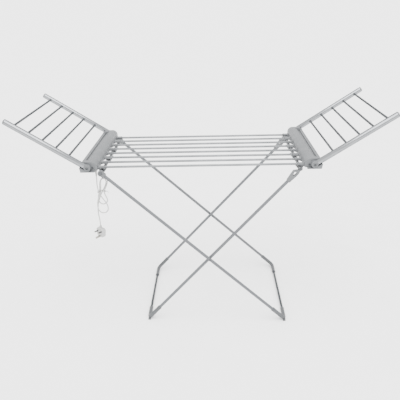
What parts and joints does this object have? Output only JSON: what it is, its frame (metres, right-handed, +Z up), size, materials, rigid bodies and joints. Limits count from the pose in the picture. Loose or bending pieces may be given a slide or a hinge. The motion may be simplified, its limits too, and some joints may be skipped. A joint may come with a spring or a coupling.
{
  "type": "clothes drying rack",
  "caption": "Free-standing folding clothes airer: table of drying bars, raised folding wings and crossed legs, with a hanging mains cord.",
  "frame": {"origin": "middle of the base: on the floor under the centre of the table, measured without the cord and plug", "axes": "+X along the drying bars, +Y across the bars from front to back, +Z up"},
  "size_m": [1.4838, 0.54, 0.9211],
  "materials": {
    "aluminium_tube": "satin anodised",
    "grey_abs": "fine moulded texture",
    "coated_steel": "silver powder coat",
    "zinc_steel": "zinc plated",
    "white_pvc": "smooth moulded",
    "black_nylon": "moulded sleeve",
    "brass_pin": "polished"
  },
  "bodies": {
    "table": {"left_end_beam": "grey_abs", "right_end_beam": "grey_abs", "dryer_bar_1": "aluminium_tube", "dryer_bar_2": "aluminium_tube", "dryer_bar_3": "aluminium_tube", "dryer_bar_4": "aluminium_tube", "dryer_bar_5": "aluminium_tube", "dryer_bar_6": "aluminium_tube", "dryer_bar_7": "aluminium_tube", "dryer_bar_8": "aluminium_tube", "left_pivot_rod": "zinc_steel", "right_pivot_rod": "zinc_steel", "left_front_hinge_pin": "zinc_steel", "left_back_hinge_pin": "zinc_steel", "right_front_hinge_pin": "zinc_steel", "right_back_hinge_pin": "zinc_steel", "cord_strain_relief": "white_pvc", "mains_cord": "white_pvc", "plug_body": "white_pvc", "plug_live_pin": "black_nylon", "plug_neutral_pin": "black_nylon", "plug_earth_pin": "brass_pin"},
    "left_wing": {"left_wing_front_rail": "aluminium_tube", "left_wing_front_knuckle": "grey_abs", "left_wing_front_end_cap": "grey_abs", "left_wing_back_rail": "aluminium_tube", "left_wing_back_knuckle": "grey_abs", "left_wing_back_end_cap": "grey_abs", "left_wing_bar_1": "aluminium_tube", "left_wing_bar_2": "aluminium_tube", "left_wing_bar_3": "aluminium_tube", "left_wing_bar_4": "aluminium_tube", "left_wing_bar_5": "aluminium_tube"},
    "right_wing": {"right_wing_front_rail": "aluminium_tube", "right_wing_front_knuckle": "grey_abs", "right_wing_front_end_cap": "grey_abs", "right_wing_back_rail": "aluminium_tube", "right_wing_back_knuckle": "grey_abs", "right_wing_back_end_cap": "grey_abs", "right_wing_bar_1": "aluminium_tube", "right_wing_bar_2": "aluminium_tube", "right_wing_bar_3": "aluminium_tube", "right_wing_bar_4": "aluminium_tube", "right_wing_bar_5": "aluminium_tube"},
    "outer_legs": {"outer_front_leg": "coated_steel", "outer_front_pivot_eye": "grey_abs", "outer_front_foot_elbow": "grey_abs", "outer_back_leg": "coated_steel", "outer_back_pivot_eye": "grey_abs", "outer_back_foot_elbow": "grey_abs", "outer_foot_bar": "coated_steel", "front_crossing_rivet": "zinc_steel", "back_crossing_rivet": "zinc_steel"},
    "inner_legs": {"inner_front_leg": "coated_steel", "inner_front_rod_clip": "grey_abs", "inner_front_foot_elbow": "grey_abs", "inner_back_leg": "coated_steel", "inner_back_rod_clip": "grey_abs", "inner_back_foot_elbow": "grey_abs", "inner_foot_bar": "coated_steel"}
  },
  "joints": [
    {"name": "left_wing_fold", "type": "hinge", "parent": "table", "child": "left_wing", "pos_m": [-0.438, 0, 0.7225], "axis": [0, 1, 0], "range_deg": [0, 147.4]},
    {"name": "right_wing_fold", "type": "hinge", "parent": "table", "child": "right_wing", "pos_m": [0.438, 0, 0.7225], "axis": [0, -1, 0], "range_deg": [0, 147.4]},
    {"name": "outer_leg_fold", "type": "hinge", "parent": "table", "child": "outer_legs", "pos_m": [-0.392, 0, 0.694], "axis": [0, -1, 0], "range_deg": [0, 39.6]},
    {"name": "inner_leg_fold", "type": "hinge", "parent": "outer_legs", "child": "inner_legs", "pos_m": [0.03103, 0, 0.30456], "axis": [0, 1, 0], "range_deg": [0, 86.8]}
  ],
  "couplings": [
    {"joint": "inner_leg_fold", "follows": "outer_leg_fold", "ratio": 2.191}
  ]
}
